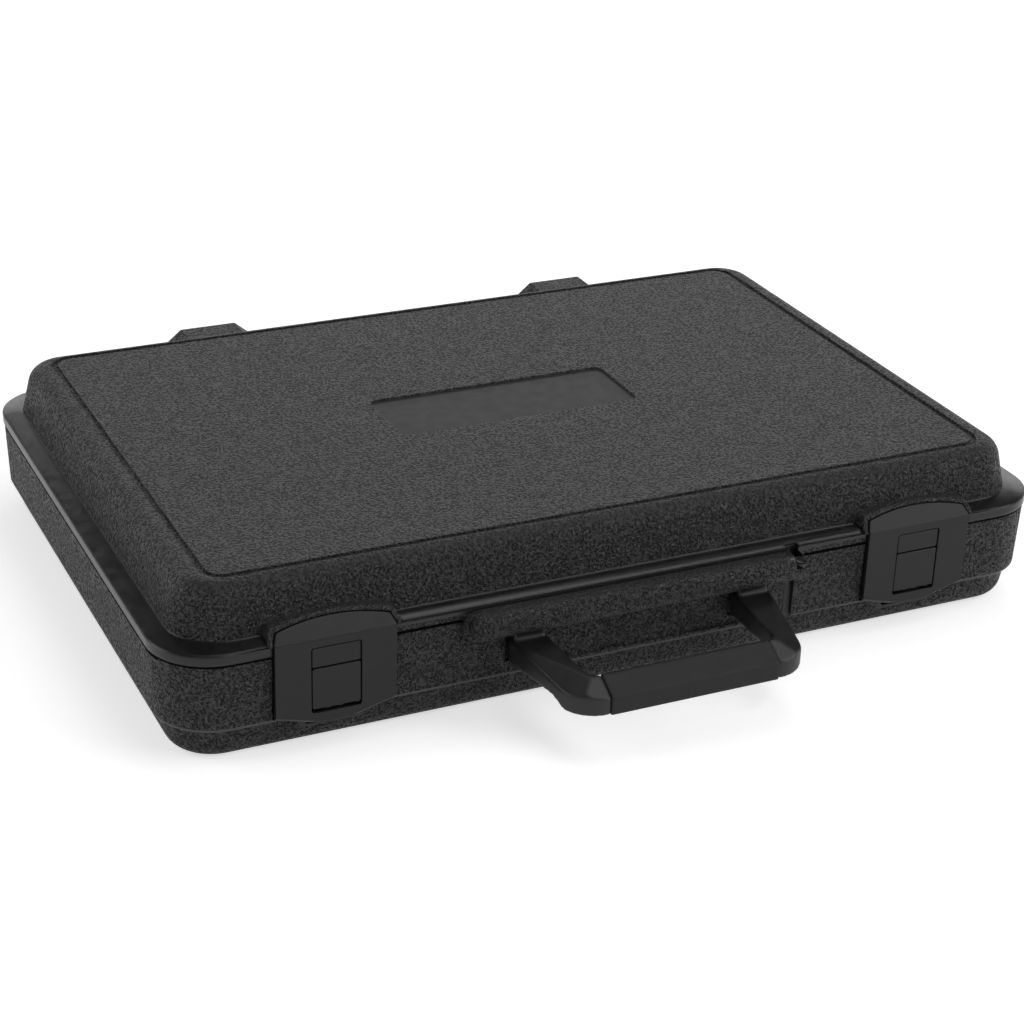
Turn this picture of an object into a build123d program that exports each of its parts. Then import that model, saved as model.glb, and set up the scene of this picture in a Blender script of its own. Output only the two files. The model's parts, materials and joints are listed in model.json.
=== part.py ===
"""Carry case for an otoscope set: blow-moulded base and lid, two push-button latches,
a swinging handle, pinned hinges and a die-cut foam interior."""
from build123d import *
import os
from math import atan, cos, degrees, radians, sin, tan

os.makedirs("parts", exist_ok=True)

# The origin is the middle of the case's footprint, on the resting face.
# +X runs along the front to the right, -Y is the front with the handle, +Z is up.

# Case envelope
case_length = 400.0
case_depth = 274.0
case_height = 71.8
parting_height = 45.0
corner_radius = 26.0

# Base moulding
base_top_inset = 0.5
base_step_inset = 1.6
step_height = 14.7
step_edge_chamfer = 1.0
foot_step_inset = 4.6
foot_bottom_inset = 7.0
foot_edge_radius = 7.5
base_floor = 6.0
tub_wall = 12.0
tub_draft_inset = 3.0
tub_corner_radius = 15.0
tongue_thickness = 3.0
tongue_height = 3.2

# Raised front panel of the base, between the two latches, up to the lid's ledge
panel_thickness = 4.2
panel_top = 49.0
panel_gap = 0.3

# Lid moulding
flange_height = 4.4
ledge_width = 7.4
ledge_rise = 1.1
lid_wall_bottom_inset = 8.2
lid_wall_top_inset = 13.4
lid_wall_corner_radius = 21.5
lid_shoulder_radius = 8.5
lid_roof = 5.0
lid_tub_inset = 12.0
lid_tub_top_inset = 20.5
rim_gap = 0.5
rim_relief = 0.4

# Groove and bare label recess in the lid's top
groove_end_inset = 22.9
groove_side_inset = 19.8
groove_width = 2.5
groove_corner_radius = 10.0
groove_depth = 0.9
label_length = 114.2
label_depth = 40.0
label_corner_radius = 4.0
label_recess = 0.9

# Latches
latch_inset = 67.7
latch_width = 50.0
latch_gap = 0.4
latch_proud = 1.2
latch_thickness = 2.4
latch_recess_depth = 5.0
latch_crease_height = 49.5
latch_side_bottom = 16.8
latch_tab_bottom = 13.1
latch_tab_width = 23.0
latch_rib = 2.0
latch_lean = 0.9
anchor_peak = 9.0
anchor_shoulder = 5.5
anchor_side = 1.0
anchor_corner = 1.7
anchor_key_length = 28.0
anchor_key_width = 2.4
anchor_key_depth = 3.0
anchor_key_rise = 6.0
key_gap = 0.05
ridge_band = 1.7
ridge_sink = 0.3
ridge_reach = 9.0

# Window in each latch, with the fixed cap above and the sliding button below
window_width = 20.7
window_bottom = 17.3
window_top = 46.1
window_corner_radius = 1.2
window_gap = 0.4
cap_height = 8.4
cap_sink = 0.3
split_gap = 0.6
button_travel = 1.2
button_sink = 0.2
slide_width = 24.0
slide_thickness = 1.1
slide_overhang = 1.2
slide_gap = 0.25
rail_width = 2.0
rail_lip = 1.1
nose_width = 10.0
nose_height = 3.2
nose_bottom = 23.4
nose_gap = 0.3
keeper_height = 4.0
keeper_reach = 1.2
keeper_gap = 0.4
sill_rise = 0.5
sill_height = 1.8
spring_strip = 0.4
spring_span = 14.0
lip_chamfer = 1.5

# Finger scallop under each latch
scallop_bottom = 9.2
scallop_width = 25.0
scallop_flat_width = 21.0
scallop_depth = 7.4

# Handle boss, sockets and rod
boss_centre_x = -2.0
boss_length = 156.0
boss_height = 13.4
boss_centre_height = 42.0
boss_reach = 8.2
boss_edge_radius = 4.6
boss_root = 3.0
finger_recess_half = 58.0
finger_recess_bottom = 17.8
finger_recess_inset = 2.3
finger_recess_radius = 6.0
boss_rim = 2.2
boss_rim_reach = 3.4
boss_rim_chamfer = 1.1
boss_lip_height = 1.5
rod_radius = 2.0
rod_height = 40.2
rod_forward = 1.6
rod_grip = 5.0
rod_gap = 0.05
leg_spacing = 102.0
leg_width = 16.0
socket_gap = 0.7
eye_radius = 4.5
eye_gap = 0.5
neck_depth = 7.2
neck_set_back = 2.4
neck_root_radius = 2.0
socket_brow = 2.6
handle_top = 32.4
handle_thickness = 12.6
leg_thickness = 9.6
handle_reach = 48.7
handle_front_half = 51.5
handle_corner_radius = 15.0
bar_depth = 10.3
handle_inner_half = 41.5
handle_inner_radius = 5.0
handle_bend_radius = 7.5
handle_bevel_drop = 5.2
handle_bevel_run = 9.0
handle_crease_start = 4.0
handle_ramp = 8.0
neck_width = 13.6
grip_half_length = 37.5
grip_skin = 1.4
grip_proud = 0.5
grip_edge_radius = 1.0

# Blow-needle mark at the right end of the boss
mark_x = 70.6
channel_radius = 2.4
slot_radius = 2.7
slot_bottom = 43.0
slot_crown = 51.0
slot_depth = 3.0
plug_radius = 1.8
plug_ring_radius = 3.2
plug_seat_height = 42.2
plug_forward = 4.2
plug_shift = 0.8
plug_depth = 5.0
plug_crown = 1.5

# Hinges
hinge_inset = 107.5
hinge_offset = 5.6
knuckle_radius = 5.0
hinge_pin_radius = 2.0
hinge_press_gap = 0.01
hinge_running_gap = 0.06
lid_knuckle_length = 21.0
base_knuckle_length = 9.0
knuckle_gap = 0.4
knuckle_web_drop = 15.0
knuckle_web_root = 1.0
base_web_angle = radians(34)
lid_web_angle = radians(61)
tower_top_height = 67.4
tower_top_length = 27.0
tower_shoulder_drop = 6.5
tower_length = 43.0
tower_clearance = 0.5
tower_back = 5.0
tower_root = 22.0

# Foam interior
foam_gap = 0.35
liner_thickness = 6.0
tray_thickness = 32.0
pocket_floor = 6.0
pocket_corner_radius = 8.0
handle_pocket = (176.0, 38.0)
handle_pocket_place = (-78.0, 66.0)
head_pocket = (92.0, 66.0)
head_pocket_place = (92.0, 66.0)
tip_pocket = (150.0, 70.0)
tip_pocket_place = (-90.0, -52.0)
spare_pocket = (120.0, 84.0)
spare_pocket_place = (88.0, -52.0)
notch_radius = 12.0
pad_thickness = 21.0

# Values worked out from the ones above
front = -case_depth / 2
back = case_depth / 2
ledge_base_height = parting_height + flange_height
wall_base_height = ledge_base_height + ledge_rise
latch_half = case_length / 2 - latch_inset
hinge_half = case_length / 2 - hinge_inset
groove_half_length = case_length / 2 - groove_end_inset
groove_half_depth = case_depth / 2 - groove_side_inset
leg_half = leg_spacing / 2
handle_inner_reach = handle_reach - bar_depth
latch_face = front - latch_proud
latch_back = latch_face + latch_thickness
latch_floor = front + latch_recess_depth
lean_angle = atan(latch_lean)
hinge_axis = (back + hinge_offset, parting_height)
rod_axis = (front - rod_forward, rod_height)
base_web = (knuckle_radius * cos(base_web_angle), knuckle_radius * sin(base_web_angle))
lid_web = (knuckle_radius * cos(lid_web_angle), knuckle_radius * sin(lid_web_angle))
plug_place = (mark_x + plug_shift, front - plug_forward)
cap_bottom = window_top - window_gap - cap_height
button_bottom = window_bottom + window_gap + button_travel
button_top = cap_bottom - split_gap
slide_front = latch_back + slide_gap
slide_back = slide_front + slide_thickness
slide_bottom = button_bottom - slide_overhang
rail_back = latch_floor - latch_gap
sill_top = latch_tab_bottom + sill_rise + sill_height
liner_floor = base_floor + foam_gap
tray_floor = liner_floor + liner_thickness + foam_gap
pad_top = case_height - lid_roof - foam_gap
sides = {"left": -1, "right": 1}


def draft(inset_change, height):
    """Draft in degrees of a wall that moves inwards by an inset over a height."""
    return degrees(atan(inset_change / height))


def plan_section(height, inset, radius):
    """Rounded rectangle of the case's plan, pulled in by an inset, at a height."""
    with BuildSketch(Plane.XY.offset(height)) as section:
        RectangleRounded(case_length - 2 * inset, case_depth - 2 * inset, radius)
    return section.sketch


def base_tub(height, gap=0):
    """Plan of the base's tub at a height, pulled in by a gap for what lies in it."""
    share = (parting_height - height) / (parting_height - base_floor)
    inset = tub_wall + tub_draft_inset * share + gap
    return plan_section(height, inset, tub_corner_radius + tub_wall - inset)


def lid_tub(height, gap=0):
    """Plan of the lid's tub at a height, pulled in by a gap for what lies in it."""
    share = (height - parting_height) / (case_height - lid_roof - parting_height)
    inset = lid_tub_inset + (lid_tub_top_inset - lid_tub_inset) * share + gap
    return plan_section(height, inset, tub_corner_radius + lid_tub_inset - inset)


def side_plane(x):
    """Plane across the case at x, whose own x is the case's Y and own y is up."""
    return Plane(origin=(x, 0, 0), x_dir=(0, 1, 0), z_dir=(1, 0, 0))


def front_plane(y, x=0):
    """Plane seen from the front at y, whose own x is the case's X and own y is up."""
    return Plane(origin=(x, y, 0), x_dir=(1, 0, 0), z_dir=(0, -1, 0))


def lean_plane(x, lift=0):
    """Plane of a latch's leaning upper face, lifted off it, with its origin on the crease."""
    normal = (0, -cos(lean_angle), sin(lean_angle))
    origin = (x, latch_face + lift * normal[1], latch_crease_height + lift * normal[2])
    return Plane(origin=origin, x_dir=(1, 0, 0), z_dir=normal)


def anchor_outline(plane, grow, drop=0):
    """Arched outline of a latch's fixed upper flange, grown by a margin and started a drop below the crease."""
    half = latch_width / 2 + grow
    with BuildSketch(plane) as outline:
        with BuildLine():
            start = (-half, -drop)
            low_left = (-half, anchor_side + grow)
            shoulder_left = (-half + anchor_corner, anchor_shoulder + grow)
            shoulder_right = (half - anchor_corner, anchor_shoulder + grow)
            Polyline(start, low_left, shoulder_left)
            ThreePointArc(shoulder_left, (0, anchor_peak + grow), shoulder_right)
            Polyline(shoulder_right, (half, anchor_side + grow), (half, -drop), start)
        make_face()
    return outline.sketch


base_tub_draft = draft(-tub_draft_inset, parting_height - base_floor)
lid_tub_draft = draft(lid_tub_top_inset - lid_tub_inset, case_height - lid_roof - parting_height)

# Base shell: double-walled moulding with foot step, front panel, handle boss, latch recesses and knuckles
with BuildPart() as base_shell:
    wall_height = parting_height - step_height
    add(plan_section(step_height, base_step_inset, corner_radius - base_step_inset))
    extrude(amount=wall_height, taper=draft(base_top_inset - base_step_inset, wall_height))
    chamfer(base_shell.faces().sort_by(Axis.Z)[0].edges(), step_edge_chamfer)
    add(plan_section(0, foot_bottom_inset, corner_radius - foot_bottom_inset))
    extrude(amount=step_height, taper=draft(foot_step_inset - foot_bottom_inset, step_height))
    fillet(base_shell.faces().sort_by(Axis.Z)[0].edges(), foot_edge_radius)
    # Front panel between the latches
    panel_half = latch_half - latch_width / 2 - latch_gap
    with BuildSketch(Plane.XY.offset(parting_height)):
        with Locations((0, front + base_top_inset)):
            Rectangle(2 * panel_half, panel_thickness, align=(Align.CENTER, Align.MIN))
    extrude(amount=panel_top - parting_height)
    # Shallow recess for the fingers, below the boss
    with BuildSketch(front_plane(front + finger_recess_inset)):
        with Locations((0, finger_recess_bottom)):
            RectangleRounded(
                2 * finger_recess_half,
                boss_centre_height + boss_height / 2 - finger_recess_bottom,
                finger_recess_radius,
                align=(Align.CENTER, Align.MIN),
            )
    extrude(amount=finger_recess_inset, mode=Mode.SUBTRACT)
    # Half-round boss that houses the handle's rod, on a low rim
    with BuildSketch(front_plane(front + boss_root)):
        with Locations((boss_centre_x, boss_centre_height)):
            SlotOverall(boss_length, boss_height)
    extrude(amount=boss_root + boss_rim_reach)
    chamfer(base_shell.faces(Select.LAST).sort_by(Axis.Y)[0].edges(), boss_rim_chamfer)
    with BuildSketch(front_plane(front + boss_root)):
        with Locations((boss_centre_x, boss_centre_height + boss_lip_height / 2)):
            SlotOverall(boss_length - 2 * boss_rim, boss_height - boss_lip_height)
    extrude(amount=boss_root + boss_reach)
    fillet(base_shell.faces(Select.LAST).sort_by(Axis.Y)[0].edges(), boss_edge_radius)
    # Hinge knuckles, two for each hinge, with the gap of the lid's knuckle between them
    web_root = back - base_step_inset - knuckle_web_root
    for hinge_x in (-hinge_half, hinge_half):
        for side in (-1, 1):
            inner = hinge_x + side * (lid_knuckle_length / 2 + knuckle_gap)
            with BuildSketch(side_plane(inner)):
                with Locations(hinge_axis):
                    Circle(knuckle_radius)
                with BuildLine():
                    Polyline(
                        (web_root, parting_height - knuckle_web_drop),
                        (hinge_axis[0] + base_web[0], parting_height - base_web[1]),
                        (hinge_axis[0], parting_height),
                        (web_root, parting_height),
                        close=True,
                    )
                make_face()
            extrude(amount=side * base_knuckle_length)
    # Tub for the foam, and the tongue round its rim
    add(base_tub(base_floor))
    extrude(amount=parting_height - base_floor, taper=base_tub_draft, mode=Mode.SUBTRACT)
    with BuildSketch(Plane.XY.offset(parting_height)):
        RectangleRounded(
            case_length - 2 * (tub_wall - tongue_thickness),
            case_depth - 2 * (tub_wall - tongue_thickness),
            tub_corner_radius + tongue_thickness,
        )
        RectangleRounded(
            case_length - 2 * tub_wall, case_depth - 2 * tub_wall, tub_corner_radius, mode=Mode.SUBTRACT
        )
    extrude(amount=tongue_height)
    # Latch recesses, keeper beads and finger scallops
    for latch_x in (-latch_half, latch_half):
        recess_bottom = latch_side_bottom - latch_gap
        with BuildSketch(front_plane(latch_floor, latch_x)):
            with Locations((0, recess_bottom)):
                Rectangle(latch_width + 2 * latch_gap, panel_top, align=(Align.CENTER, Align.MIN))
        extrude(amount=latch_recess_depth + boss_reach, mode=Mode.SUBTRACT)
        with BuildSketch(front_plane(latch_floor, latch_x)):
            with BuildLine():
                outer_half = latch_width / 2 + latch_gap
                tab_half = latch_tab_width / 2 + latch_gap
                tab_bottom = latch_tab_bottom - latch_gap
                Polyline(
                    (-outer_half, recess_bottom),
                    (-tab_half, tab_bottom),
                    (tab_half, tab_bottom),
                    (outer_half, recess_bottom),
                    close=True,
                )
            make_face()
        extrude(amount=latch_recess_depth + boss_reach, mode=Mode.SUBTRACT)
        with BuildSketch(front_plane(front + scallop_depth, latch_x)):
            with BuildLine():
                Polyline(
                    (-scallop_width / 2, step_height),
                    (-scallop_flat_width / 2, scallop_bottom),
                    (scallop_flat_width / 2, scallop_bottom),
                    (scallop_width / 2, step_height),
                    close=True,
                )
            make_face()
        extrude(amount=scallop_depth, mode=Mode.SUBTRACT)
        keeper_bottom = nose_bottom + nose_height + keeper_gap
        with BuildSketch(side_plane(latch_x - nose_width / 2)):
            with BuildLine():
                Polyline(
                    (latch_floor + keeper_reach, keeper_bottom),
                    (latch_floor - keeper_reach, keeper_bottom),
                    (latch_floor - keeper_reach, keeper_bottom + keeper_height / 2),
                    (latch_floor, keeper_bottom + keeper_height),
                    (latch_floor + keeper_reach, keeper_bottom + keeper_height),
                    close=True,
                )
            make_face()
        extrude(amount=nose_width)
    # Sockets for the handle's necks, open below, with a low arch over each leg, and the rod's bore
    for leg_x in (-leg_half, leg_half):
        socket_half = leg_width / 2 + socket_gap
        socket_reach = eye_radius + eye_gap
        socket_back = rod_axis[0] + socket_reach
        socket_top = rod_height + socket_reach
        socket_bottom = handle_top - leg_thickness - 2 * eye_gap
        brow_height = boss_centre_height - boss_height / 2 + socket_brow
        with BuildSketch(side_plane(leg_x - socket_half)):
            with BuildLine():
                Polyline(
                    (socket_back, socket_top),
                    (socket_back, socket_bottom),
                    (front - boss_reach, socket_bottom),
                    (front - boss_reach, brow_height),
                    (rod_axis[0] - socket_reach, brow_height),
                    (rod_axis[0] - socket_reach, rod_height + socket_reach * tan(radians(22.5))),
                    (rod_axis[0] - socket_reach * tan(radians(22.5)), socket_top),
                    close=True,
                )
            make_face()
        extrude(amount=2 * socket_half, mode=Mode.SUBTRACT)
    rod_half = leg_half + leg_width / 2 + socket_gap + rod_grip
    with BuildSketch(side_plane(-rod_half)):
        with Locations(rod_axis):
            Circle(rod_radius)
    extrude(amount=2 * rod_half, mode=Mode.SUBTRACT)
    # Hinge pin bores
    for hinge_x in (-hinge_half, hinge_half):
        with BuildSketch(side_plane(hinge_x - tower_length / 2)):
            with Locations(hinge_axis):
                Circle(hinge_pin_radius + hinge_press_gap)
        extrude(amount=tower_length, mode=Mode.SUBTRACT)
    # Blow-needle mark: channel below the boss, slot above it and a ringed hole for the plug
    with BuildSketch(Plane.XY.offset(step_height)):
        with Locations((mark_x, front + base_step_inset)):
            Circle(channel_radius)
    extrude(amount=boss_centre_height - boss_height / 2 - step_height, mode=Mode.SUBTRACT)
    with BuildSketch(front_plane(front + slot_depth, mark_x)):
        with BuildLine():
            crown_base = slot_crown - slot_radius
            Polyline((slot_radius, crown_base), (slot_radius, slot_bottom), (-slot_radius, slot_bottom),
                     (-slot_radius, crown_base))
            ThreePointArc((-slot_radius, crown_base), (0, slot_crown), (slot_radius, crown_base))
        make_face()
    extrude(amount=slot_depth + boss_reach, mode=Mode.SUBTRACT)
    with BuildSketch(Plane.XY.offset(plug_seat_height)):
        with Locations(plug_place):
            Circle(plug_ring_radius)
    extrude(amount=panel_top - plug_seat_height, mode=Mode.SUBTRACT)
    with BuildSketch(Plane.XY.offset(plug_seat_height)):
        with Locations(plug_place):
            Circle(plug_radius)
    extrude(amount=-plug_depth, mode=Mode.SUBTRACT)
base_shell.part.label = "base_shell"
export_step(base_shell.part, "parts/base_shell.step")

# Lid shell: flange with its ledge, leaning walls with a large shoulder, hinge towers and latch seats
with BuildPart() as lid_shell:
    lid_wall_height = case_height - ledge_base_height
    add(plan_section(ledge_base_height, lid_wall_bottom_inset, lid_wall_corner_radius))
    extrude(amount=lid_wall_height, taper=draft(lid_wall_top_inset - lid_wall_bottom_inset, lid_wall_height))
    fillet(lid_shell.faces().sort_by(Axis.Z)[-1].edges(), lid_shoulder_radius)
    add(plan_section(parting_height, 0, corner_radius))
    extrude(amount=flange_height)
    add(plan_section(ledge_base_height, 0, corner_radius))
    add(plan_section(wall_base_height, ledge_width, corner_radius - ledge_width))
    loft(ruled=True)
    # Hinge towers on the back wall
    for hinge_x in (-hinge_half, hinge_half):
        tower_foot = parting_height + knuckle_radius + tower_clearance
        tower_y = back + tower_back - tower_root
        with BuildSketch(front_plane(tower_y + tower_root, hinge_x)):
            with BuildLine():
                Polyline(
                    (-tower_length / 2, tower_foot),
                    (-tower_length / 2, tower_top_height - tower_shoulder_drop),
                    (-tower_top_length / 2, tower_top_height),
                    (tower_top_length / 2, tower_top_height),
                    (tower_length / 2, tower_top_height - tower_shoulder_drop),
                    (tower_length / 2, tower_foot),
                    close=True,
                )
            make_face()
        extrude(amount=tower_root)
        with BuildSketch(side_plane(hinge_x - lid_knuckle_length / 2)):
            with Locations(hinge_axis):
                Circle(knuckle_radius)
            with BuildLine():
                Polyline(
                    (back - lid_wall_bottom_inset, tower_foot + knuckle_web_root),
                    (back - lid_wall_bottom_inset, parting_height),
                    (hinge_axis[0], parting_height),
                    (hinge_axis[0] + lid_web[0], parting_height + lid_web[1]),
                    (back + tower_back, tower_foot + knuckle_web_root),
                    close=True,
                )
            make_face()
        extrude(amount=lid_knuckle_length)
    # Seats under the leaning upper flanges of the latches
    for latch_x in (-latch_half, latch_half):
        seat = anchor_outline(lean_plane(latch_x, -ridge_sink), latch_gap + ridge_band)
        extrude(seat, amount=ridge_reach, dir=(0, 1, 0))
    # Tub above the foam, and the relief for the base's tongue
    add(lid_tub(parting_height))
    extrude(amount=case_height - lid_roof - parting_height, taper=lid_tub_draft, mode=Mode.SUBTRACT)
    tongue_inset = tub_wall - tongue_thickness
    add(plan_section(parting_height, tongue_inset - rim_gap, tub_corner_radius + tongue_thickness + rim_gap))
    extrude(amount=tongue_height + rim_relief, mode=Mode.SUBTRACT)
    # Set-back behind the base's front panel
    with BuildSketch(Plane.XY.offset(parting_height)):
        with Locations((0, front)):
            Rectangle(
                2 * latch_half - latch_width,
                base_top_inset + panel_thickness + panel_gap,
                align=(Align.CENTER, Align.MIN),
            )
    extrude(amount=panel_top + panel_gap - parting_height, mode=Mode.SUBTRACT)
    # Recesses for the latch plates and their upper flanges
    for latch_x in (-latch_half, latch_half):
        with BuildSketch(front_plane(latch_floor, latch_x)):
            with Locations((0, parting_height)):
                Rectangle(
                    latch_width + 2 * latch_gap,
                    latch_crease_height - parting_height,
                    align=(Align.CENTER, Align.MIN),
                )
        extrude(amount=latch_recess_depth + latch_proud, mode=Mode.SUBTRACT)
        recess = anchor_outline(lean_plane(latch_x, -latch_thickness - slide_gap), latch_gap, latch_gap)
        extrude(recess, amount=latch_thickness + ridge_reach, mode=Mode.SUBTRACT)
        with BuildSketch(lean_plane(latch_x, -latch_thickness)) as key_slot:
            with Locations((0, anchor_key_rise)):
                Rectangle(anchor_key_length + 2 * key_gap, anchor_key_width + 2 * key_gap)
        extrude(key_slot.sketch, amount=-anchor_key_depth - key_gap, mode=Mode.SUBTRACT)
    # Hinge pin bores
    for hinge_x in (-hinge_half, hinge_half):
        with BuildSketch(side_plane(hinge_x - lid_knuckle_length)):
            with Locations(hinge_axis):
                Circle(hinge_pin_radius + hinge_running_gap)
        extrude(amount=2 * lid_knuckle_length, mode=Mode.SUBTRACT)
    # Groove round the top and the bare label recess
    with BuildSketch(Plane.XY.offset(case_height - groove_depth)):
        RectangleRounded(2 * groove_half_length, 2 * groove_half_depth, groove_corner_radius)
        RectangleRounded(
            2 * (groove_half_length - groove_width),
            2 * (groove_half_depth - groove_width),
            groove_corner_radius - groove_width,
            mode=Mode.SUBTRACT,
        )
    extrude(amount=groove_depth, mode=Mode.SUBTRACT)
    with BuildSketch(Plane.XY.offset(case_height - label_recess)):
        RectangleRounded(label_length, label_depth, label_corner_radius)
    extrude(amount=label_recess, mode=Mode.SUBTRACT)
    # Crown of the blow-needle mark's slot, in the ledge's edge
    with BuildSketch(front_plane(front + slot_depth, mark_x)):
        with Locations((0, slot_crown - slot_radius)):
            Circle(slot_radius + panel_gap)
    extrude(amount=slot_depth, mode=Mode.SUBTRACT)
lid_shell.part.label = "lid_shell"
export_step(lid_shell.part, "parts/lid_shell.step")

# Hinge pins: plain steel, one through each set of three knuckles
for side, sign in sides.items():
    with BuildPart() as hinge_pin:
        with BuildSketch(side_plane(sign * hinge_half - tower_length / 2 + tower_clearance)):
            with Locations(hinge_axis):
                Circle(hinge_pin_radius)
        extrude(amount=tower_length - 2 * tower_clearance)
    hinge_pin.part.label = f"hinge_pin_{side}"
    export_step(hinge_pin.part, f"parts/hinge_pin_{side}.step")

# Handle rod: steel, cast into the boss and running through the handle's two eyes
with BuildPart() as handle_rod:
    rod_end = leg_half + leg_width / 2 + socket_gap + rod_grip - rod_gap
    with BuildSketch(side_plane(-rod_end)):
        with Locations(rod_axis):
            Circle(rod_radius)
    extrude(amount=2 * rod_end)
handle_rod.part.label = "handle_rod"
export_step(handle_rod.part, "parts/handle_rod.step")


def handle_outline(height):
    """Plan outline of the handle's U, from the necks to the grip, at a height."""
    leg_outer = leg_half + leg_width / 2
    leg_inner = leg_half - leg_width / 2
    root = rod_axis[0] + neck_depth / 2
    bend = front - handle_crease_start
    with BuildSketch(Plane.XY.offset(height)) as outline:
        with BuildLine():
            FilletPolyline(
                (-leg_outer, root),
                (-leg_outer, bend),
                (-handle_front_half, front - handle_reach),
                (handle_front_half, front - handle_reach),
                (leg_outer, bend),
                (leg_outer, root),
                radius=[handle_bend_radius, handle_corner_radius, handle_corner_radius, handle_bend_radius],
            )
            FilletPolyline(
                (leg_inner, root),
                (leg_inner, bend),
                (handle_inner_half, front - handle_inner_reach),
                (-handle_inner_half, front - handle_inner_reach),
                (-leg_inner, bend),
                (-leg_inner, root),
                radius=[handle_bend_radius, handle_inner_radius, handle_inner_radius, handle_bend_radius],
            )
            Line((-leg_outer, root), (-leg_inner, root))
            Line((leg_inner, root), (leg_outer, root))
        make_face()
    return outline.sketch


def bar_section(x, grow):
    """Section across the handle's front bar at x, with its sloping top, grown by a margin."""
    low = handle_top - handle_thickness
    with BuildSketch(side_plane(x)) as section:
        with BuildLine():
            Polyline(
                (front - handle_reach, low),
                (front - handle_reach, handle_top - handle_bevel_drop),
                (front - handle_reach + handle_bevel_run, handle_top),
                (front - handle_inner_reach, handle_top),
                (front - handle_inner_reach, low),
                close=True,
            )
        make_face()
        offset(amount=grow, kind=Kind.INTERSECTION)
    return section.sketch


def plane_through(first, second, third):
    """Plane through three points, facing up."""
    along = Vector(*second) - Vector(*first)
    across = Vector(*third) - Vector(*first)
    normal = along.cross(across)
    if normal.Z < 0:
        normal = -normal
    return Plane(origin=first, x_dir=along, z_dir=normal)


# Handle bail: U-shaped moulding whose two necks rise into the boss and end in eyes on the rod
with BuildPart() as handle_bail:
    handle_bottom = handle_top - handle_thickness
    leg_bottom = handle_top - leg_thickness
    add(handle_outline(handle_bottom))
    extrude(amount=handle_thickness)
    with BuildSketch(side_plane(-case_length / 2)):
        with BuildLine():
            ramp_start = front - handle_inner_reach + handle_ramp
            Polyline(
                (ramp_start, leg_bottom),
                (front - handle_inner_reach, handle_bottom),
                (front + handle_reach, handle_bottom),
                (front + handle_reach, leg_bottom),
                close=True,
            )
        make_face()
    extrude(amount=case_length, mode=Mode.SUBTRACT)
    # Sloping upper faces: one along the front bar, one down each leg
    bevel_y = front - handle_reach + handle_bevel_run
    crease_height = handle_top - handle_bevel_drop
    front_bevel = plane_through(
        (0, front - handle_reach, crease_height),
        (handle_inner_half, front - handle_reach, crease_height),
        (0, bevel_y, handle_top),
    )
    split(bisect_by=front_bevel, keep=Keep.BOTTOM)
    for side in (-1, 1):
        leg_bevel = plane_through(
            (side * (leg_half + leg_width / 2), front - handle_crease_start, handle_top),
            (side * handle_front_half, front - handle_reach + handle_bevel_run / 2, crease_height),
            (side * handle_inner_half, bevel_y, handle_top),
        )
        split(bisect_by=leg_bevel, keep=Keep.BOTTOM)
    # Core of the grip, slimmer than the rest of the bar
    extrude(bar_section(-grip_half_length, grip_skin), amount=2 * grip_half_length, mode=Mode.SUBTRACT)
    extrude(bar_section(-grip_half_length, grip_proud - grip_skin), amount=2 * grip_half_length)
    # Necks and eyes
    neck_front = rod_axis[0] - neck_depth / 2 + neck_set_back
    neck_back = rod_axis[0] + neck_depth / 2
    for leg_x in (-leg_half, leg_half):
        with BuildSketch(side_plane(leg_x - neck_width / 2)):
            with Locations(rod_axis):
                Circle(eye_radius)
            with BuildLine():
                Polyline(
                    (neck_front, rod_height),
                    (neck_back, rod_height),
                    (neck_back, leg_bottom),
                    (neck_front - neck_root_radius, leg_bottom),
                    (neck_front - neck_root_radius, handle_top),
                )
                RadiusArc(
                    (neck_front - neck_root_radius, handle_top), (neck_front, handle_top + neck_root_radius),
                    -neck_root_radius,
                )
                Line((neck_front, handle_top + neck_root_radius), (neck_front, rod_height))
            make_face()
        extrude(amount=neck_width)
        with BuildSketch(side_plane(leg_x - leg_width)):
            with Locations(rod_axis):
                Circle(rod_radius + rod_gap)
        extrude(amount=2 * leg_width, mode=Mode.SUBTRACT)
handle_bail.part.label = "handle_bail"
export_step(handle_bail.part, "parts/handle_bail.step")

# Handle grip: soft sleeve moulded over the core of the front bar
with BuildPart() as handle_grip:
    extrude(bar_section(-grip_half_length, grip_proud), amount=2 * grip_half_length)
    fillet(handle_grip.edges().filter_by(Axis.X), grip_edge_radius)
    extrude(
        bar_section(-grip_half_length, grip_proud - grip_skin), amount=2 * grip_half_length, mode=Mode.SUBTRACT
    )
handle_grip.part.label = "handle_grip"
export_step(handle_grip.part, "parts/handle_grip.step")

# Plug that closes the blow-needle hole
with BuildPart() as blow_plug:
    with BuildSketch(Plane.XY.offset(plug_seat_height - plug_depth)):
        with Locations(plug_place):
            Circle(plug_radius - key_gap)
    extrude(amount=plug_depth + plug_crown)
    chamfer(blow_plug.edges().sort_by(Axis.Z)[-1], plug_crown / 2)
blow_plug.part.label = "blow_plug"
export_step(blow_plug.part, "parts/blow_plug.step")

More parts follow.
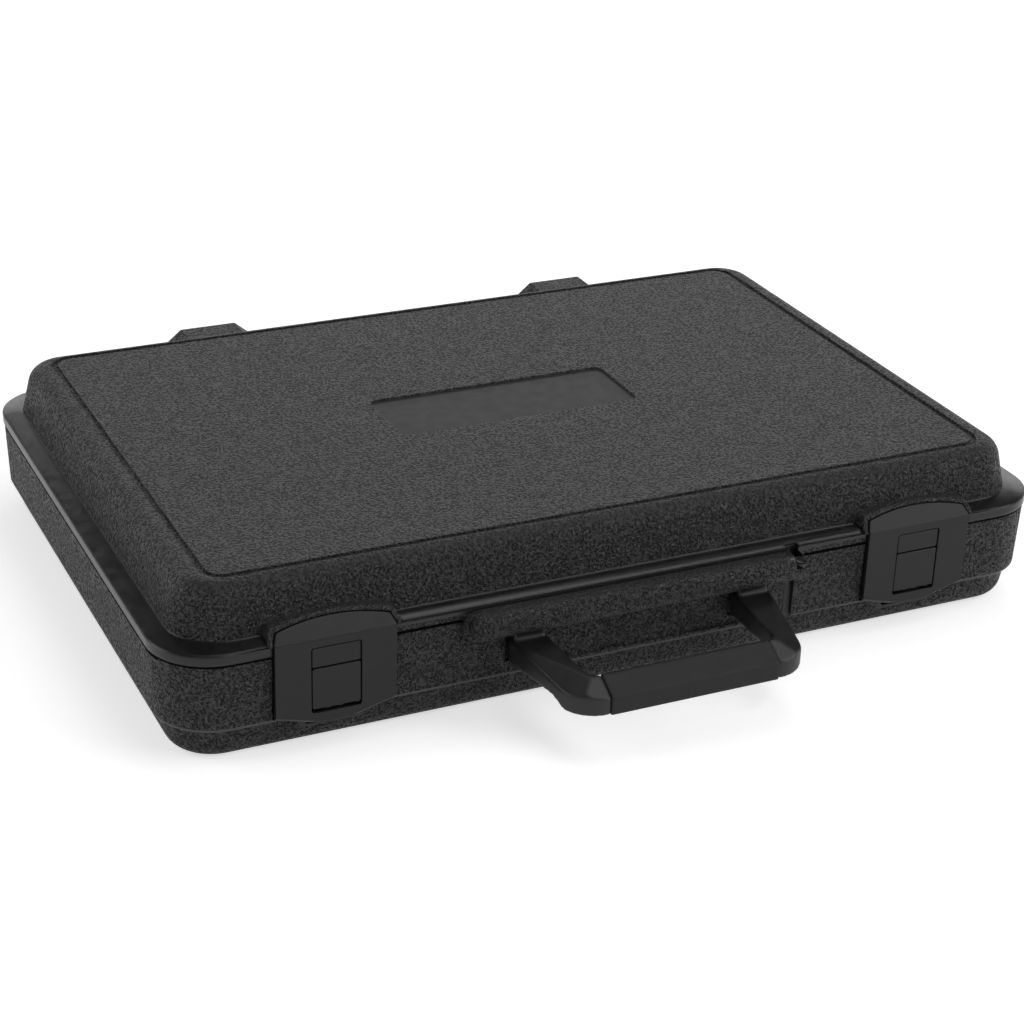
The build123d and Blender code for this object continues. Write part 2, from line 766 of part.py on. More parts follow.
# Latches, one on each side of the handle
for side, sign in sides.items():
    latch_x = sign * latch_half

    # Anchor: fixed upper flange, keyed into its seat on the lid
    with BuildPart() as latch_anchor:
        extrude(anchor_outline(lean_plane(latch_x), 0), amount=-latch_thickness)
        with BuildSketch(lean_plane(latch_x, -latch_thickness)) as key:
            with Locations((0, anchor_key_rise)):
                Rectangle(anchor_key_length, anchor_key_width)
        extrude(key.sketch, amount=-anchor_key_depth)
        split(bisect_by=Plane.XY.offset(latch_crease_height), keep=Keep.TOP)
    latch_anchor.part.label = f"latch_anchor_{side}"
    export_step(latch_anchor.part, f"parts/latch_anchor_{side}.step")

    # Plate: swings on the living hinge along the crease, with rails for the button behind its window
    with BuildPart() as latch_plate:
        with BuildSketch(front_plane(latch_back, latch_x)):
            with BuildLine():
                Polyline(
                    (-latch_width / 2, latch_crease_height),
                    (-latch_width / 2, latch_side_bottom),
                    (-latch_tab_width / 2, latch_tab_bottom),
                    (latch_tab_width / 2, latch_tab_bottom),
                    (latch_width / 2, latch_side_bottom),
                    (latch_width / 2, latch_crease_height),
                    close=True,
                )
            make_face()
        extrude(amount=latch_thickness)
        rim = latch_plate.faces().sort_by(Axis.Y)[0].edges()
        low_edges = rim.filter_by_position(Axis.Z, latch_tab_bottom, latch_side_bottom)
        chamfer(low_edges.filter_by(Axis.X, reverse=True), lip_chamfer)
        with BuildSketch(front_plane(latch_back, latch_x)):
            with Locations((0, window_bottom)):
                RectangleRounded(
                    window_width,
                    window_top - window_bottom,
                    window_corner_radius,
                    align=(Align.CENTER, Align.MIN),
                )
        extrude(amount=latch_thickness, mode=Mode.SUBTRACT)
        with BuildSketch(front_plane(rail_back, latch_x)):
            rib_bottom = latch_side_bottom + latch_rib
            rib_height = latch_crease_height - latch_rib - rib_bottom
            for rib_side in (-1, 1):
                with Locations((rib_side * (latch_width - latch_rib) / 2, rib_bottom)):
                    Rectangle(latch_rib, rib_height, align=(Align.CENTER, Align.MIN))
                rail_x = rib_side * (slide_width / 2 + slide_gap + rail_width / 2)
                with Locations((rail_x, sill_top)):
                    Rectangle(rail_width, window_top + latch_rib - sill_top, align=(Align.CENTER, Align.MIN))
            with Locations((0, latch_tab_bottom + sill_rise)):
                Rectangle(latch_tab_width - latch_rib, sill_height, align=(Align.CENTER, Align.MIN))
        extrude(amount=rail_back - latch_back)
        with BuildSketch(front_plane(rail_back, latch_x)):
            for rib_side in (-1, 1):
                rail_x = rib_side * (slide_width / 2 + slide_gap + rail_width / 2 - rail_lip)
                with Locations((rail_x, sill_top)):
                    Rectangle(rail_width, window_top + latch_rib - sill_top, align=(Align.CENTER, Align.MIN))
        extrude(amount=rail_back - slide_back - slide_gap)
    latch_plate.part.label = f"latch_plate_{side}"
    export_step(latch_plate.part, f"parts/latch_plate_{side}.step")

    # Cap: fixed cover in the upper part of the window
    with BuildPart() as latch_cap:
        with BuildSketch(front_plane(latch_back, latch_x)):
            with Locations((0, cap_bottom)):
                RectangleRounded(
                    window_width - 2 * window_gap,
                    cap_height,
                    window_corner_radius - window_gap,
                    align=(Align.CENTER, Align.MIN),
                )
        extrude(amount=latch_thickness - cap_sink)
        with BuildSketch(front_plane(latch_back, latch_x)):
            with Locations((0, cap_bottom)):
                Rectangle(slide_width, window_top + latch_rib - cap_bottom, align=(Align.CENTER, Align.MIN))
        extrude(amount=-slide_thickness)
    latch_cap.part.label = f"latch_cap_{side}"
    export_step(latch_cap.part, f"parts/latch_cap_{side}.step")

    # Button: slides down behind the window and carries the nose that snaps under the keeper bead
    with BuildPart() as latch_button:
        with BuildSketch(front_plane(slide_front, latch_x)):
            with Locations((0, button_bottom)):
                RectangleRounded(
                    window_width - 2 * window_gap,
                    button_top - button_bottom,
                    window_corner_radius - window_gap,
                    align=(Align.CENTER, Align.MIN),
                )
        extrude(amount=latch_thickness + slide_gap - button_sink)
        with BuildSketch(front_plane(slide_back, latch_x)):
            with Locations((0, slide_bottom)):
                Rectangle(slide_width, button_top - slide_bottom, align=(Align.CENTER, Align.MIN))
        extrude(amount=slide_thickness)
        nose_reach = latch_floor - keeper_reach - nose_gap - slide_back
        with BuildSketch(side_plane(latch_x - nose_width / 2)):
            with BuildLine():
                Polyline(
                    (slide_back, nose_bottom),
                    (slide_back + nose_reach, nose_bottom + nose_reach),
                    (slide_back + nose_reach, nose_bottom + nose_height),
                    (slide_back, nose_bottom + nose_height),
                    close=True,
                )
            make_face()
        extrude(amount=nose_width)
    latch_button.part.label = f"latch_button_{side}"
    export_step(latch_button.part, f"parts/latch_button_{side}.step")

    # Button spring: bowed leaf between the sill and the button's foot
    with BuildPart() as button_spring:
        with BuildSketch(front_plane(slide_back, latch_x)):
            with BuildLine():
                ThreePointArc(
                    (-spring_span / 2, sill_top), (0, slide_bottom - spring_strip), (spring_span / 2, sill_top)
                )
                Line((spring_span / 2, sill_top), (spring_span / 2 + spring_strip, sill_top))
                ThreePointArc(
                    (spring_span / 2 + spring_strip, sill_top), (0, slide_bottom),
                    (-spring_span / 2 - spring_strip, sill_top),
                )
                Line((-spring_span / 2 - spring_strip, sill_top), (-spring_span / 2, sill_top))
            make_face()
        extrude(amount=slide_thickness)
    button_spring.part.label = f"button_spring_{side}"
    export_step(button_spring.part, f"parts/button_spring_{side}.step")


# Foam liner on the base's floor
with BuildPart() as foam_liner:
    add(base_tub(liner_floor, foam_gap))
    extrude(amount=liner_thickness, taper=base_tub_draft)
foam_liner.part.label = "foam_liner"
export_step(foam_liner.part, "parts/foam_liner.step")

# Foam tray: die-cut pockets for the battery handle, the otoscope head, the ear tips and spares
with BuildPart() as foam_tray:
    add(base_tub(tray_floor, foam_gap))
    extrude(amount=tray_thickness, taper=base_tub_draft)
    pockets = (
        (handle_pocket, handle_pocket_place),
        (head_pocket, head_pocket_place),
        (tip_pocket, tip_pocket_place),
        (spare_pocket, spare_pocket_place),
    )
    for (length, width), place in pockets:
        with BuildSketch(Plane.XY.offset(tray_floor + pocket_floor)):
            with Locations(place):
                RectangleRounded(length, width, pocket_corner_radius)
            with Locations((place[0], place[1] - width / 2)):
                Circle(notch_radius)
        extrude(amount=tray_thickness, mode=Mode.SUBTRACT)
foam_tray.part.label = "foam_tray"
export_step(foam_tray.part, "parts/foam_tray.step")

# Foam pad in the lid
with BuildPart() as lid_pad:
    add(lid_tub(pad_top - pad_thickness, foam_gap))
    extrude(amount=pad_thickness, taper=lid_tub_draft)
lid_pad.part.label = "lid_pad"
export_step(lid_pad.part, "parts/lid_pad.step")
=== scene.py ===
"""Otoscope carry case: shells, latches, handle, hinges and foam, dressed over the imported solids."""
import json
import logging
import math
from dataclasses import dataclass, field
from enum import Enum
from typing import Callable, Optional, Union

import bmesh
import bpy
from mathutils import Matrix, Vector

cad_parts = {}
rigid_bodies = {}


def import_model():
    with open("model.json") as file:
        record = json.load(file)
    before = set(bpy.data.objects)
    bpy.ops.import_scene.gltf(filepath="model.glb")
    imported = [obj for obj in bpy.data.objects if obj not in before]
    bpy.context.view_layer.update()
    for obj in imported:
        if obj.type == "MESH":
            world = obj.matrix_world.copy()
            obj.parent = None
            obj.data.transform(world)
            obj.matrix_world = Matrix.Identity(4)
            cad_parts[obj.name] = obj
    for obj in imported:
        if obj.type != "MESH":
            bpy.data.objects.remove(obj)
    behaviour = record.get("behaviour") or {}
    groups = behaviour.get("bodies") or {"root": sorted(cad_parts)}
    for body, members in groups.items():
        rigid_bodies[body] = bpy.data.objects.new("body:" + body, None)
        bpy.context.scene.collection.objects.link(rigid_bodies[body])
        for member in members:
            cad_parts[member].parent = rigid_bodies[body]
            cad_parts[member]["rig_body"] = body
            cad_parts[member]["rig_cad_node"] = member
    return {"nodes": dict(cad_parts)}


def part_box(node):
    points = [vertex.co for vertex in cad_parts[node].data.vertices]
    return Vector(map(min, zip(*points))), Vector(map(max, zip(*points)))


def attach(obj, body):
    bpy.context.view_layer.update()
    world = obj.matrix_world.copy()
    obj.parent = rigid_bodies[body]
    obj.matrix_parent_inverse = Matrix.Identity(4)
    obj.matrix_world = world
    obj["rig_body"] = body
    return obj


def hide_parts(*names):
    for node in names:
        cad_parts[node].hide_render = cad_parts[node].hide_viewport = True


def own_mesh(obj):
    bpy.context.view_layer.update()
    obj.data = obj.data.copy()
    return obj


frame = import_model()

LOG = logging.getLogger("carry_case")
MM = 0.001
SIDES = ("left", "right")
FRONT = -137.0 * MM
LATCH_X = 132.3 * MM
MARK_X = 70.6 * MM
BOSS_X = -2.0 * MM
SHELL_BLACK = (0.017, 0.0172, 0.0178)
DEEP_BLACK = (0.008, 0.0081, 0.0084)
LATCH_BLACK = (0.0105, 0.0106, 0.0109)
HANDLE_BLACK = (0.012, 0.0121, 0.0125)
GRIP_BLACK = (0.009, 0.0092, 0.0094)
CHARCOAL = (0.030, 0.031, 0.034)
STEEL_GREY = (0.50, 0.50, 0.51)
SPRING_GREY = (0.42, 0.42, 0.44)
FLOOR_GREY = (0.82, 0.82, 0.82)
WHITE = (1.0, 1.0, 1.0)
UPRIGHT = 0.9
PATCH_HUES = (0.3, 0.7)
PATCH_GLOSS = (0.25, 0.75)
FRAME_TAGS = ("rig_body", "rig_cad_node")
ROUNDING_SAMPLES = 4
Socket = bpy.types.NodeSocket


class Finish(Enum):
    """Names of the record's material slots."""

    SHELL = "shell_plastic"
    LATCH = "latch_plastic"
    HANDLE = "handle_plastic"
    GRIP = "grip_rubber"
    PLUG = "plug_plastic"
    FOAM = "foam"
    STEEL = "steel"
    SPRING = "spring_steel"


class NodeGraph:
    """A node tree, with short ways to add and join its nodes."""

    def __init__(self, tree: bpy.types.NodeTree) -> None:
        """Empty the tree.

        Args:
            tree: The tree of a material or a world.
        """
        self.tree = tree
        self.tree.nodes.clear()
        self.coordinates = self.add("ShaderNodeTexCoord").outputs
        self.place = self.coordinates["Object"]

    def add(self, kind: str, settings: Optional[dict] = None, **inputs) -> bpy.types.Node:
        """Add a node and set or join its inputs.

        Args:
            kind: The node's type.
            settings: Values of the node's own properties.
            **inputs: Input values or sockets, by the input's name with underscores.

        Returns:
            The new node.
        """
        node = self.tree.nodes.new(kind)
        for key, value in (settings or {}).items():
            setattr(node, key, value)
        for key, value in inputs.items():
            self.feed(node, key.replace("_", " "), value)
        return node

    def feed(self, node: bpy.types.Node, name: Union[str, int], value) -> None:
        """Set one input of a node, or join a socket to it.

        Args:
            node: The node.
            name: The input's name or number.
            value: A constant or an output socket.
        """
        socket = node.inputs[name]
        if isinstance(value, Socket):
            self.tree.links.new(value, socket)
        else:
            socket.default_value = value

    def math(self, operation: str, first, second=0.0, third=0.0, clamp: bool = False) -> Socket:
        """Add a Math node.

        Args:
            operation: The operation.
            first: The first value or socket.
            second: The second value or socket.
            third: The third value or socket, where the operation has one.
            clamp: Keep the result between 0 and 1.

        Returns:
            The node's output.
        """
        node = self.add("ShaderNodeMath", {"operation": operation, "use_clamp": clamp})
        for number, value in enumerate((first, second, third)):
            self.feed(node, number, value)
        return node.outputs[0]

    def product(self, first, second) -> Socket:
        """Multiply two values.

        Args:
            first: The first value or socket.
            second: The second value or socket.

        Returns:
            Their product.
        """
        return self.math("MULTIPLY", first, second)

    def ramp(self, value: Socket, low: float, high: float, start=0.0, end=1.0) -> Socket:
        """Map a value smoothly from one range to another.

        Args:
            value: The socket to map.
            low: Value that gives start.
            high: Value that gives end.
            start: Result at low.
            end: Result at high.

        Returns:
            The mapped value.
        """
        node = self.add("ShaderNodeMapRange", {"interpolation_type": "SMOOTHSTEP"}, Value=value)
        for name, number in (("From Min", low), ("From Max", high), ("To Min", start), ("To Max", end)):
            self.feed(node, name, number)
        return node.outputs["Result"]

    def mix(self, share, first, second) -> Socket:
        """Mix two colours.

        Args:
            share: Share of the second, from 0 to 1.
            first: The first colour or socket.
            second: The second colour or socket.

        Returns:
            The mixed colour.
        """
        node = self.add("ShaderNodeMix", {"data_type": "RGBA"})
        for number, value in ((0, share), (6, first), (7, second)):
            self.feed(node, number, value)
        return node.outputs[2]

    def noise(self, cell: float, detail: float = 2.0, vector=None) -> Socket:
        """Add a noise pattern.

        Args:
            cell: Size of its features in metres.
            detail: Octaves.
            vector: Coordinates, or None for the object's own.

        Returns:
            The noise value.
        """
        node = self.add("ShaderNodeTexNoise", Vector=vector or self.place, Scale=1 / cell, Detail=detail)
        return node.outputs["Fac"]

    def bump(self, height, depth: float, strength: float = 1.0, normal=None) -> Socket:
        """Turn a height between 0 and 1 into a bumped normal.

        Args:
            height: The height socket.
            depth: Depth of the relief in metres.
            strength: Strength of the bump.
            normal: A normal to add to, or None.

        Returns:
            The normal.
        """
        node = self.add("ShaderNodeBump", Height=height, Distance=depth, Strength=strength)
        if normal is not None:
            self.feed(node, "Normal", normal)
        return node.outputs["Normal"]

    def rounded(self, radius) -> Socket:
        """Round the surface's corners in the light.

        Args:
            radius: Radius in metres, or a socket.

        Returns:
            The rounded normal.
        """
        node = self.add("ShaderNodeBevel", {"samples": ROUNDING_SAMPLES}, Radius=radius)
        return node.outputs["Normal"]


class MaterialGraph(NodeGraph):
    """The node tree of a new material."""

    def __init__(self, name: str) -> None:
        """Start an empty material.

        Args:
            name: The material's name.
        """
        self.material = bpy.data.materials.new(name)
        self.material.use_nodes = True
        super().__init__(self.material.node_tree)

    def surface(self, **inputs) -> bpy.types.Material:
        """Finish with a Principled shader.

        Args:
            **inputs: Its input values or sockets, with underscores in their names.

        Returns:
            The material.
        """
        shader = self.add("ShaderNodeBsdfPrincipled", None, **inputs)
        self.add("ShaderNodeOutputMaterial", None, Surface=shader.outputs["BSDF"])
        return self.material


def tint(colour: tuple, factor: float = 1.0) -> tuple:
    """Make a colour lighter or darker, with full alpha.

    Args:
        colour: Red, green and blue.
        factor: What each is multiplied by.

    Returns:
        Red, green, blue and alpha.
    """
    return tuple(channel * factor for channel in colour) + (1.0,)


@dataclass(frozen=True)
class Zone:
    """Box in the frame that picks out a part of a surface, with a soft edge."""

    low: tuple
    high: tuple
    fade: float = 0.4 * MM

    def share(self, graph: NodeGraph) -> Socket:
        """Build the mask of the box.

        Args:
            graph: The material that uses it.

        Returns:
            1 inside the box and 0 outside it.
        """
        axes = graph.add("ShaderNodeSeparateXYZ", Vector=graph.place).outputs
        result = None
        for axis, low, high in zip(axes, self.low, self.high):
            rise = graph.ramp(axis, low - self.fade, low)
            fall = graph.ramp(axis, high, high + self.fade, 1.0, 0.0)
            both = graph.product(rise, fall)
            result = both if result is None else graph.product(result, both)
        return result


@dataclass
class Grain:
    """Masks that the pebbled finish's relief, colour and gloss share."""

    fine: Socket
    broad: Socket
    raised: Socket
    grained: Socket
    wall: Socket
    patches: Socket
    seam: Socket


@dataclass(frozen=True)
class PebbledPlastic:
    """Polyethylene shell plastic with the leather-like grain of its mould, left smooth in some zones."""

    name: str = "pebbled_shell_plastic"
    colour: tuple = SHELL_BLACK
    fine_cell: float = 0.62 * MM
    fine_depth: float = 0.27 * MM
    broad_cell: float = 1.3 * MM
    broad_depth: float = 0.28 * MM
    wave_cell: float = 38 * MM
    wave_depth: float = 0.30 * MM
    patch_cell: float = 9 * MM
    pebble_octaves: float = 0.6
    pebble_range: tuple = (0.36, 0.62)
    wall_range: tuple = (0.5, 0.95)
    roughness: float = 0.34
    crease_roughness: float = 0.75
    smooth_roughness: float = 0.24
    roughness_range: tuple = (0.1, 0.8)
    patch_roughness: tuple = (-0.03, 0.04)
    rounding: float = 0.9 * MM
    crisp_rounding: float = 0.35 * MM
    wall_gain: float = 0.7
    wall_sheen: float = 0.16
    hollow_shade: float = 0.28
    plain_gloss: float = 0.5
    # Tints of the grain: creases painted darker as shade, pebbles painted lighter as light falling on them,
    # more so on walls
    crease_shade_tint: float = 0.35
    top_light_tint: float = 1.5
    wall_light_tint: float = 2.0
    worn_tint: float = 1.3
    worn_share: float = 0.25
    # Painted highlight along the foot lip
    lip_highlight_tint: float = 3.2
    # Painted shadow line along the parting between lid and base: its tint, roughness and loss of gloss
    parting_shadow_tint: float = 0.1
    parting_shadow_roughness: float = 0.7
    parting_shadow_gloss_cut: float = 0.9
    refraction: float = 1.5
    zones: tuple = ()
    highlight_lips: tuple = ()
    parting_shadows: tuple = ()

    @staticmethod
    def joined(graph: NodeGraph, zones: tuple) -> Union[Socket, float]:
        """Join the masks of several zones.

        Args:
            graph: The material.
            zones: The zones.

        Returns:
            1 inside any of them and 0 outside them all.
        """
        result = 0.0
        for zone in zones:
            result = graph.math("MAXIMUM", zone.share(graph), result)
        return result

    def pebbles(self, graph: NodeGraph, cell: float) -> Socket:
        """Build a pattern of rounded pebbles between winding creases.

        Args:
            graph: The material.
            cell: Size of a pebble in metres.

        Returns:
            1 on a pebble and 0 in a crease.
        """
        return graph.ramp(graph.noise(cell, self.pebble_octaves), *self.pebble_range)

    def grain(self, graph: NodeGraph) -> Grain:
        """Build the masks.

        Args:
            graph: The material.

        Returns:
            The masks.
        """
        fine = self.pebbles(graph, self.fine_cell)
        broad = self.pebbles(graph, self.broad_cell)
        facing = graph.add("ShaderNodeSeparateXYZ", Vector=graph.coordinates["Normal"])
        flat = graph.math("ABSOLUTE", facing.outputs["Z"])
        wall = graph.ramp(flat, *self.wall_range, 1.0, 0.0)
        return Grain(
            fine=fine,
            broad=broad,
            raised=graph.product(graph.math("ADD", fine, broad), 0.5),
            grained=graph.math("SUBTRACT", 1.0, self.joined(graph, self.zones)),
            wall=wall,
            patches=graph.noise(self.patch_cell, detail=3.0),
            # Mask of the painted shadow along the parting line, on walls only
            seam=graph.product(self.joined(graph, self.parting_shadows), wall),
        )

    def relief(self, graph: NodeGraph, grain: Grain) -> Socket:
        """Build the relief: slow waves of the skin, then broad and fine pebbles.

        Args:
            graph: The material.
            grain: The masks.

        Returns:
            The bumped normal.
        """
        softer = self.rounding - self.crisp_rounding
        radius = graph.math("MULTIPLY_ADD", grain.grained, softer, self.crisp_rounding)
        gain = graph.math("MULTIPLY_ADD", grain.wall, self.wall_gain, 1.0)
        depth = graph.product(grain.grained, gain)
        waves = graph.noise(self.wave_cell, detail=1.0)
        relief = graph.bump(waves, self.wave_depth, 1.0, graph.rounded(radius))
        relief = graph.bump(grain.broad, self.broad_depth, depth, relief)
        return graph.bump(grain.fine, self.fine_depth, depth, relief)

    def hue(self, graph: NodeGraph, grain: Grain) -> Socket:
        """Build the colour: creases painted darker as shade and pebbles painted lighter as light, most on
        walls, with worn patches, a painted highlight along the foot lip and a painted shadow along the
        parting line.

        Args:
            graph: The material.
            grain: The masks.

        Returns:
            The colour.
        """
        # Pebbles painted lighter as light, more on walls than on tops, and creases painted darker as shade
        pebble = graph.mix(grain.wall, tint(self.colour, self.top_light_tint), tint(self.colour, self.wall_light_tint))
        creased = graph.mix(grain.raised, tint(self.colour, self.crease_shade_tint), pebble)
        colour = graph.mix(grain.grained, tint(self.colour), creased)
        worn = graph.ramp(grain.patches, *PATCH_HUES, 0.0, self.worn_share)
        colour = graph.mix(worn, colour, tint(self.colour, self.worn_tint))
        # Painted highlight along the foot lip
        colour = graph.mix(self.joined(graph, self.highlight_lips), colour, tint(self.colour, self.lip_highlight_tint))
        # Painted shadow along the parting between lid and base
        return graph.mix(grain.seam, colour, tint(self.colour, self.parting_shadow_tint))

    def dullness(self, graph: NodeGraph, grain: Grain) -> Socket:
        """Build the roughness, which is greatest in creases and along the painted shadow of the parting line.

        Args:
            graph: The material.
            grain: The masks.

        Returns:
            The roughness.
        """
        limits = (self.crease_roughness, self.roughness)
        pebbled = graph.ramp(grain.raised, *self.roughness_range, *limits)
        skin = graph.add("ShaderNodeMapRange", Value=grain.grained)
        graph.feed(skin, "To Min", self.smooth_roughness)
        graph.feed(skin, "To Max", pebbled)
        uneven = graph.ramp(grain.patches, *PATCH_GLOSS, *self.patch_roughness)
        rough = graph.math("ADD", skin.outputs["Result"], uneven)
        return graph.math("ADD", rough, graph.product(grain.seam, self.parting_shadow_roughness), clamp=True)

    def gloss(self, graph: NodeGraph, grain: Grain) -> Socket:
        """Build the gloss, which walls lose in their creases and gain on their pebbles.

        Args:
            graph: The material.
            grain: The masks.

        Returns:
            The specular level.
        """
        grained_wall = graph.product(grain.wall, grain.grained)
        hollow = graph.product(graph.math("SUBTRACT", 1.0, grain.raised), grained_wall)
        gloss = graph.math("MULTIPLY_ADD", hollow, -self.hollow_shade, self.plain_gloss)
        sheen = graph.product(grain.raised, grained_wall)
        gloss = graph.math("MULTIPLY_ADD", sheen, self.wall_sheen, gloss)
        kept = graph.math("MULTIPLY_ADD", grain.seam, -self.parting_shadow_gloss_cut, 1.0)
        return graph.math("MULTIPLY", gloss, kept, clamp=True)

    def build(self) -> bpy.types.Material:
        """Make the material.

        Returns:
            The material.
        """
        graph = MaterialGraph(self.name)
        grain = self.grain(graph)
        return graph.surface(
            Base_Color=self.hue(graph, grain),
            Roughness=self.dullness(graph, grain),
            Normal=self.relief(graph, grain),
            Specular_IOR_Level=self.gloss(graph, grain),
            IOR=self.refraction,
        )


@dataclass(frozen=True)
class SatinPlastic:
    """Smooth moulded plastic with a fine spark-eroded satin."""

    name: str = "satin_plastic"
    colour: tuple = SHELL_BLACK
    fine_cell: float = 0.28 * MM
    fine_depth: float = 0.012 * MM
    wave_cell: float = 22 * MM
    wave_depth: float = 0.06 * MM
    patch_cell: float = 6 * MM
    patch_tints: tuple = (0.9, 1.15)
    patch_roughness: tuple = (-0.04, 0.06)
    roughness: float = 0.36
    refraction: float = 1.5
    rounding: float = 0.4 * MM

    def build(self) -> bpy.types.Material:
        """Make the material.

        Returns:
            The material.
        """
        graph = MaterialGraph(self.name)
        fine = graph.noise(self.fine_cell, detail=2.0)
        waves = graph.noise(self.wave_cell, detail=1.0)
        patches = graph.noise(self.patch_cell, detail=4.0)
        relief = graph.bump(waves, self.wave_depth, 1.0, graph.rounded(self.rounding))
        relief = graph.bump(fine, self.fine_depth, 1.0, relief)
        dark, light = (tint(self.colour, factor) for factor in self.patch_tints)
        colour = graph.mix(graph.ramp(patches, *PATCH_HUES), dark, light)
        limits = (self.roughness + change for change in self.patch_roughness)
        rough = graph.ramp(patches, *PATCH_GLOSS, *limits)
        return graph.surface(Base_Color=colour, Roughness=rough, Normal=relief, IOR=self.refraction)


@dataclass(frozen=True)
class OpenCellFoam:
    """Charcoal polyurethane foam with open cells."""

    name: str = "open_cell_foam"
    colour: tuple = CHARCOAL
    cell: float = 0.9 * MM
    depth: float = 0.5 * MM
    pore_range: tuple = (0.1, 0.55)
    # Pores painted darker as shade in the open cells, cell walls lighter
    pore_shade_tint: float = 0.55
    wall_light_tint: float = 1.3
    fluff_cell: float = 3 * MM
    fluff_share: float = 0.6
    roughness: float = 0.95
    sheen: float = 0.25
    sheen_roughness: float = 0.6
    gloss: float = 0.2

    def build(self) -> bpy.types.Material:
        """Make the material.

        Returns:
            The material.
        """
        graph = MaterialGraph(self.name)
        scale = 1 / self.cell
        cells = graph.add("ShaderNodeTexVoronoi", {"feature": "F1"}, Vector=graph.place, Scale=scale)
        pores = graph.ramp(cells.outputs["Distance"], *self.pore_range)
        fluff = graph.product(graph.noise(self.fluff_cell, detail=4.0), self.fluff_share)
        return graph.surface(
            # Pores painted darker as shade, cell walls lighter
            Base_Color=graph.mix(pores, tint(self.colour, self.pore_shade_tint), tint(self.colour, self.wall_light_tint)),
            Roughness=self.roughness,
            Normal=graph.bump(graph.math("ADD", pores, fluff), self.depth),
            Sheen_Weight=self.sheen,
            Sheen_Roughness=self.sheen_roughness,
            Specular_IOR_Level=self.gloss,
        )


@dataclass(frozen=True)
class DrawnSteel:
    """Plain drawn steel, with fine lines along it."""

    name: str = "drawn_steel"
    colour: tuple = STEEL_GREY
    roughness: float = 0.3
    line_range: tuple = (0.3, 0.7)
    line_roughness: tuple = (-0.06, 0.08)
    line_scale: tuple = (60.0, 2500.0, 2500.0)
    line_depth: float = 0.01 * MM
    stain_cell: float = 4 * MM
    stain_range: tuple = (0.35, 0.7)
    stain_tint: float = 0.75

    def build(self) -> bpy.types.Material:
        """Make the material.

        Returns:
            The material.
        """
        graph = MaterialGraph(self.name)
        stretch = graph.add("ShaderNodeMapping", Vector=graph.place, Scale=self.line_scale)
        streaks = graph.add("ShaderNodeTexNoise", Vector=stretch.outputs[0], Scale=1.0, Detail=2.0)
        lines = streaks.outputs["Fac"]
        stain = graph.ramp(graph.noise(self.stain_cell, detail=3.0), *self.stain_range)
        limits = (self.roughness + change for change in self.line_roughness)
        return graph.surface(
            Base_Color=graph.mix(stain, tint(self.colour), tint(self.colour, self.stain_tint)),
            Metallic=1.0,
            Roughness=graph.ramp(lines, *self.line_range, *limits),
            Normal=graph.bump(lines, self.line_depth),
        )


# Bands along the parting between lid and base, where a dark line is painted as the shadow of the gap
PARTING_SHADOW_BANDS = (
    Zone((-0.3, FRONT - 0.1 * MM, 44.1 * MM), (0.3, 0.3, 45.2 * MM), 0.25 * MM),
    Zone((-0.21, -0.12, 43.2 * MM), (-0.19, 0.15, 45.2 * MM), 0.25 * MM),
)
# Band above the foot step: left smooth, and given a painted highlight
FOOT_LIP = Zone((-0.3, -0.3, 14.6 * MM), (0.3, 0.3, 16.4 * MM), 0.15 * MM)
BOSS_LIP = Zone((BOSS_X - 0.08, FRONT - 5 * MM, 34.0 * MM), (BOSS_X + 0.08, FRONT - 0.3 * MM, 36.9 * MM))
SMOOTH_BASE_ZONES = (
    # Lip above the front panel
    Zone((-0.11, FRONT - 0.8 * MM, 47.6 * MM), (0.11, FRONT + 8 * MM, 60 * MM)),
    FOOT_LIP,
    BOSS_LIP,
    # Channel of the blow-needle mark, and the ring and arch above it
    Zone((MARK_X - 2.5 * MM, FRONT - MM, 14.0 * MM), (MARK_X + 2.5 * MM, FRONT + 6 * MM, 36.0 * MM)),
    Zone((MARK_X - 5 * MM, FRONT - 7 * MM, 37.0 * MM), (MARK_X + 5 * MM, FRONT + 6 * MM, 50.0 * MM)),
    # Finger scallops below the two latches
    Zone((-LATCH_X - 13 * MM, FRONT, 8.0 * MM), (-LATCH_X + 13 * MM, FRONT + 9 * MM, 14.0 * MM)),
    Zone((LATCH_X - 13 * MM, FRONT, 8.0 * MM), (LATCH_X + 13 * MM, FRONT + 9 * MM, 14.0 * MM)),
)


